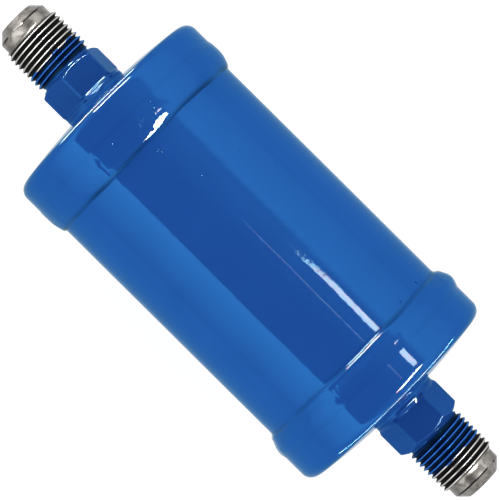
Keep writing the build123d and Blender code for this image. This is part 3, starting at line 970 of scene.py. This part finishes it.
def make_hexagon(name, node, direction, turn, shoulder):
    """The painted part of a fitting: spigot, flange, hexagon and neck."""
    angles = hexagon_angles(turn)
    block_s, block_r = make_block_rows(angles, hexagon_radius(angles, turn), shoulder)
    fillet = np.linspace(0, 1, 6)[:, None]
    rows = (
        (-SPIGOT_LENGTH, BORE_R),
        (-SPIGOT_LENGTH, SPIGOT_R),
        (0.0, SPIGOT_R),
        (block_s, block_r),
        (HEX_END + 0.06 * MM, block_r[-1] - 0.12 * MM),
        (HEX_END + 0.08 * MM + NECK_FILLET_R * fillet[:, 0],
         NECK_R + NECK_FILLET_R * (1 - np.sqrt(1 - (1 - fillet) ** 2))),
        (JOINT_S, NECK_R),
        (JOINT_S, BORE_R),
    )
    s = np.concatenate([np.atleast_1d(s) for s, _ in rows])
    radius = np.concatenate([np.broadcast_to(r, (np.size(s), len(angles))) for s, r in rows])
    mesh = grid_mesh(name, turned_points((BOSS_FACE_X + s) * direction, radius, angles))
    return finish_piece(name, mesh, [FITTING_PAINT], node, sharp=50)


def make_nose_section():
    """The threaded end of a fitting without its turns, as distance from the boss face and radius by row."""
    lip = NOSE_R - (TIP_LENGTH - NOSE_END)
    root = spread(THREAD_START + 0.1 * MM, THREAD_END - 0.25 * MM, 0.3 * MM)
    return np.array([
        (JOINT_S, BORE_R),
        (JOINT_S, NECK_R - 0.01 * MM),
        *[(s, THREAD_ROOT_R) for s in root],
        (THREAD_END - 0.15 * MM, NOSE_R + 0.1 * MM),
        (THREAD_END, NOSE_R),
        (THREAD_END + 0.8 * MM, NOSE_R),
        (NOSE_END - 0.25 * MM, NOSE_R),
        (NOSE_END - 0.08 * MM, NOSE_R - 0.02 * MM),
        (NOSE_END + 0.08 * MM, NOSE_R - 0.12 * MM),
        (NOSE_END + 0.3 * MM, NOSE_R - 0.32 * MM),
        (TIP_LENGTH - 0.2 * MM, lip + 0.2 * MM),
        (TIP_LENGTH - 0.04 * MM, lip + 0.02 * MM),
        (TIP_LENGTH, lip - 0.12 * MM),
        (TIP_LENGTH, BORE_R + 0.15 * MM),
        (TIP_LENGTH - 0.15 * MM, BORE_R),
    ])


def make_thread_tree():
    """Geometry nodes for a right-hand external thread that runs out at both ends, standing on the Z axis."""
    inputs = {
        "Root radius": THREAD_ROOT_R,
        "Crest height": THREAD_CREST_R - THREAD_ROOT_R,
        "Pitch": THREAD_PITCH,
        "Turns": 7.2,
        "Run-in turns": 0.8,
        "Run-out turns": 0.35,
        "Root width": THREAD_PITCH * 0.86,
        "Crest width": THREAD_PITCH * 0.16,
        "Edge radius": 0.09 * MM,
        "Sunk share": -0.05,
        "Least size": 0.02,
        "Steps per turn": 120,
    }
    tree, given, result = new_growth("thread_turns", inputs)
    turns = given["Turns"]
    spiral = add_node(tree, "GeometryNodeCurveSpiral", {
        "Resolution": given["Steps per turn"],
        "Rotations": turns,
        "Start Radius": given["Root radius"],
        "End Radius": given["Root radius"],
        "Height": times(given["Pitch"], turns),
        "Reverse": True,
    }).outputs[0]
    upright = after(spiral, "GeometryNodeSetCurveNormal", {"Curve": spiral}, mode="Z_UP")[0]
    along = times(tree.nodes.new("GeometryNodeSplineParameter").outputs["Factor"], turns)
    run_in = maths("DIVIDE", along, given["Run-in turns"])
    run_out = maths("DIVIDE", maths("SUBTRACT", turns, along), given["Run-out turns"])
    share = maths("MINIMUM", maths("MINIMUM", run_in, run_out), 1.0)
    share = maths("MAXIMUM", share, given["Least size"])
    profile = add_node(tree, "GeometryNodeCurvePrimitiveQuadrilateral", mode="POINTS")
    sunk = times(given["Crest height"], given["Sunk share"])
    crest = given["Crest height"]
    corners = ((sunk, "Root", 0.5), (crest, "Crest", 0.5), (crest, "Crest", -0.5), (sunk, "Root", -0.5))
    for number, (depth, place, side) in enumerate(corners, 1):
        across = times(given[place + " width"], side)
        point = after(depth, "ShaderNodeCombineXYZ", {0: depth, 1: across})[0]
        set_inputs(profile, {f"Point {number}": point})
    rounding = {"Curve": profile.outputs[0], "Radius": given["Edge radius"], "Count": 3}
    rounded = after(crest, "GeometryNodeFilletCurve", rounding, mode="POLY")[0]
    sweep = {"Curve": upright, "Profile Curve": rounded, "Scale": share, "Fill Caps": True}
    end_growth(given, result, after(upright, "GeometryNodeCurveToMesh", sweep)[0])
    return tree


THREAD_TURNS = make_thread_tree()
PAINT_RAG = 0.9 * MM
PAINT_RAG_SIZE = 2.6 * MM


def make_threaded_nose(name, node, direction, paint_end, first_turn):
    """The threaded end of a fitting, painted out to a ragged line at a distance from the drier's middle."""
    section = make_nose_section()
    x = (BOSS_FACE_X + section[:, 0]) * direction
    body = grid_mesh(name, turned_points(x, section[:, 1], round_angles(NOSE_COLUMNS)))
    turns = (THREAD_END + 0.1 * MM - first_turn) / THREAD_PITCH
    thread = grown_mesh(name + "_turns", THREAD_TURNS, {"Turns": turns, "Material": TURNED_STEEL})
    stand = Matrix.Translation((direction * (BOSS_FACE_X + first_turn), 0, 0))
    thread.transform(stand @ Matrix.Rotation(direction * math.pi / 2, 4, "Y"))
    mesh = joined(body, thread)

    def choose(middle):
        ragged = PAINT_RAG * noise.noise(middle / PAINT_RAG_SIZE + Vector((7.0, 7.0, 7.0)))
        return int(abs(middle.x) + ragged > paint_end)

    finishes = [FITTING_PAINT, TURNED_STEEL]
    return finish_piece(name, mesh, finishes, node, sharp=50, choose=choose)


# ==== Studio ====


def make_camera():
    """Looks down on the drier, which lies along X, with the image turned about the view."""
    right = Vector((math.cos(AXIS_ANGLE), math.sin(AXIS_ANGLE), 0))
    up = Vector((-math.sin(AXIS_ANGLE), math.cos(AXIS_ANGLE), 0))
    pixel = IMAGE_WIDTH / IMAGE_SIZE
    target = (IMAGE_SIZE / 2 - AXIS_PIXEL[0]) * pixel * right + (AXIS_PIXEL[1] - IMAGE_SIZE / 2) * pixel * up
    place = Vector((0, 0, CAMERA_HEIGHT))
    back = (place - target).normalized()
    side = up.cross(back).normalized()
    turn = Matrix((side, back.cross(side), back)).transposed()
    data = bpy.data.cameras.new("camera")
    data.sensor_width = SENSOR_WIDTH
    data.lens = SENSOR_WIDTH * (place - target).length / IMAGE_WIDTH
    data.clip_start = 0.01
    camera = add_object("camera", data)
    camera.matrix_world = Matrix.Translation(place) @ turn.to_4x4()
    bpy.context.scene.camera = camera


FLOOR_REACH = 3.0
FLOOR_SHADE = 0.28
FLOOR_GLOW = 0.84  # what the camera and mirror-like surfaces see on top of the light that falls on the floor


def either(rays, *kinds):
    """1 for a ray of any of the kinds."""
    seen = rays[kinds[0]]
    for kind in kinds[1:]:
        seen = maths("MAXIMUM", seen, rays[kind])
    return seen


def make_floor():
    """A pale floor that keeps the drier's soft shadow."""
    mesh = bpy.data.meshes.new("floor")
    corners = ((-1, -1), (1, -1), (1, 1), (-1, 1))
    mesh.from_pydata([(x * FLOOR_REACH, y * FLOOR_REACH, FLOOR_Z) for x, y in corners], [], [(0, 1, 2, 3)])
    floor = add_object("floor", mesh)
    material, shader, _ = new_material("floor")
    rays = material.node_tree.nodes.new("ShaderNodeLightPath").outputs
    seen = either(rays, "Is Camera Ray", "Is Glossy Ray", "Is Transmission Ray")
    set_inputs(shader, {
        "Base Color": rgba(FLOOR_SHADE, FLOOR_SHADE, FLOOR_SHADE),
        "Roughness": 0.9,
        "Specular IOR Level": 0.1,
        "Emission Color": rgba(1, 1, 1),
        "Emission Strength": times(seen, FLOOR_GLOW),
    })
    mesh.materials.append(material)


GAP_HALF_ANGLE = math.radians(43)  # from overhead to where each side light starts
GAP_GLOW = 0.9  # beside the far light, falling to nothing overhead
GLOW_START = -0.1
NEAR_LIGHT = (3.8, 0.9, 0.012)  # towards -Y: at the gap, at the horizon, and half its edge in radians
FAR_LIGHT = (2.8, 1.6, 0.11)  # towards +Y
END_LIGHT = 0.6  # towards both ends
END_EDGE = (math.radians(30), math.radians(42))
END_WIDTH = (0.62, 0.45)


def side_light(angle, at_gap, at_horizon, edge):
    """The light of one side, by the angle from overhead towards it."""
    reach = {"Value": angle, "From Min": GAP_HALF_ANGLE, "From Max": math.pi / 2}
    level = after(angle, "ShaderNodeMapRange", reach | {"To Min": at_gap, "To Max": at_horizon})[0]
    return times(level, ramp(angle, GAP_HALF_ANGLE - edge, GAP_HALF_ANGLE + edge))


def make_world():
    """Two long side lights with a dim gap overhead, and a light at each end. The camera sees white."""
    world = bpy.data.worlds.new("studio")
    world.use_nodes = True
    tree = world.node_tree
    tree.nodes.clear()
    x, y, z = split(tree.nodes.new("ShaderNodeTexCoord").outputs["Generated"])
    far = maths("ARCTAN2", y, z)
    near_light = side_light(times(far, -1.0), *NEAR_LIGHT)
    far_light = side_light(far, *FAR_LIGHT)
    glow = times(ramp(far, GLOW_START, GAP_HALF_ANGLE), GAP_GLOW)
    endwards = maths("ARCTAN2", maths("ABSOLUTE", x), z)
    end_light = times(ramp(endwards, *END_EDGE), END_LIGHT)
    end_light = times(end_light, ramp(maths("ABSOLUTE", y), *END_WIDTH))
    strength = maths("ADD", maths("MAXIMUM", far_light, glow), near_light)
    strength = maths("MAXIMUM", strength, end_light)
    seen = either(tree.nodes.new("ShaderNodeLightPath").outputs, "Is Camera Ray", "Is Transmission Ray")
    strength = maths("MULTIPLY_ADD", strength, maths("SUBTRACT", 1.0, seen), seen)
    background = after(strength, "ShaderNodeBackground", {"Strength": strength, "Color": rgba(1, 1, 1)})[0]
    add_node(tree, "ShaderNodeOutputWorld", {0: background})
    bpy.context.scene.world = world


FOR_PAINT = (1.0, 0.17, 0.085)  # the paint returns far more blue than red, so this comes back white
FOR_EDGES = (0.76, 0.155, 0.10)
FOR_FITTINGS = (0.9, 0.21, 0.10)
FOR_STEEL = (1.0, 1.0, 1.0)

# name, the pieces lit, azimuth, elevation, width and height in degrees as the middle of the drier sees them,
# radiance and colour; then, where another place sees the lamp so, that place in mm and its distance
LAMPS = (
    ("inlet_end_lamp", "can", 171, 14, 30, 8, 600, FOR_PAINT),
    ("outlet_end_lamp", "can_but_outlet_bead", 32, 52, 32, 12, 600, FOR_PAINT),
    ("streak_lamp", "can", 81.4, 56.3, 5.8, 5.6, 150, FOR_PAINT),
    ("line_lamp", "can", 77.6, 73.8, 8, 0.9, 30, FOR_EDGES),
    ("inlet_low_lamp", "caps", 184, -34, 44, 6, 650, FOR_EDGES, (-48.4, 3, 27), 0.08),
    ("outlet_low_lamp", "caps", 0, -26, 90, 4, 550, FOR_EDGES, (48.4, 0, 27), 0.10),
    ("inlet_block_lamp", "blocks", 152, 38, 22, 14, 1500, FOR_FITTINGS),
    ("inlet_flange_lamp", "inlet_block", -90, 80.5, 60, 67, 3.2, FOR_STEEL),
    ("outlet_block_lamp", "blocks", 20, 44, 26, 8, 1500, FOR_FITTINGS),
    ("outlet_bead_lamp", "outlet_bead", 171, 30, 34, 5, 900, FOR_PAINT),
    ("inlet_nose_lamp", "inlet_nose", 165, 34, 30, 8, 90, FOR_STEEL),
    ("inlet_nose_top_lamp", "inlet_nose", -90, 68, 44, 44, 4.4, FOR_STEEL),
    ("inlet_chamfer_lamp", "inlet_nose", 180, 9, 36, 16, 5, FOR_STEEL),
    ("outlet_nose_lamp", "outlet_nose", 15, 50, 30, 8, 90, FOR_STEEL),
)
LAMP_DISTANCE = 0.6  # metres


def make_lamp(name, lit, azimuth, elevation, width, height, radiance, colour, seen_from=(0, 0, 0),
              distance=LAMP_DISTANCE):
    """A soft lamp that is there only for the reflections of some pieces."""
    spin = Matrix.Rotation(math.radians(azimuth), 4, "Z") @ Matrix.Rotation(-math.radians(elevation), 4, "Y")
    data = bpy.data.lights.new(name, "AREA")
    data.shape = "RECTANGLE"
    data.size = 2 * distance * math.tan(math.radians(height) / 2)
    data.size_y = 2 * distance * math.tan(math.radians(width) / 2)
    data.energy = radiance * math.pi * data.size * data.size_y
    data.color = colour
    lamp = add_object(name, data)
    aim = Matrix.Translation(Vector(seen_from) * MM) @ spin
    lamp.matrix_world = aim @ Matrix.Translation((distance, 0, 0)) @ Matrix.Rotation(math.pi / 2, 4, "Y")
    lamp.visible_camera = False
    lamp.visible_diffuse = False
    lamp.light_linking.receiver_collection = lit


def lit_together(name, pieces):
    """A collection that lamps are linked to."""
    made = bpy.data.collections.new(name)
    for piece in pieces:
        made.objects.link(piece)
    return made


# ==== Assembly ====

shell = make_shell()
caps = [
    make_cap("inlet_domed_cap", "inlet_cap", INLET_CAP_R, -1),
    make_cap("outlet_domed_cap", "outlet_cap", OUTLET_CAP_R, 1),
]
beads = [
    make_bead("inlet_weld_bead", "inlet_girth_weld", INLET_BEAD_FACE, INLET_CAP_R, -1,
              INLET_BEAD_SHAPE, INLET_BEAD_NIBS),
    make_bead("outlet_weld_bead", "outlet_girth_weld", OUTLET_BEAD_FACE, OUTLET_CAP_R, 1, OUTLET_BEAD_SHAPE),
]
make_braze("inlet_braze_fillet", "inlet_fitting_braze", -1)
make_braze("outlet_braze_fillet", "outlet_fitting_braze", 1)
blocks = [
    make_hexagon("inlet_hexagon", "inlet_fitting", -1, INLET_HEX_TURN, INLET_SHOULDER),
    make_hexagon("outlet_hexagon", "outlet_fitting", 1, 0.0, OUTLET_SHOULDER),
]
noses = [
    make_threaded_nose("inlet_threaded_nose", "inlet_fitting", -1, INLET_PAINT_END, INLET_FIRST_TURN),
    make_threaded_nose("outlet_threaded_nose", "outlet_fitting", 1, OUTLET_PAINT_END, OUTLET_FIRST_TURN),
]
for finish, nodes in INNER_FINISHES:
    for node in nodes:
        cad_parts[node].data.materials.clear()
        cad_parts[node].data.materials.append(finish)

make_camera()
make_floor()
make_world()

can = [shell] + caps + beads
lit_pieces = {
    "can": can,
    "can_but_outlet_bead": can[:-1],
    "outlet_bead": beads[1:],
    "caps": caps,
    "blocks": blocks,
    "inlet_block": blocks[:1],
    "inlet_nose": noses[:1],
    "outlet_nose": noses[1:],
}
lit_collections = {name: lit_together(name, pieces) for name, pieces in lit_pieces.items()}
for lamp_name, lit, *settings in LAMPS:
    make_lamp(lamp_name, lit_collections[lit], *settings)
bpy.context.scene.view_settings.view_transform = "Standard"
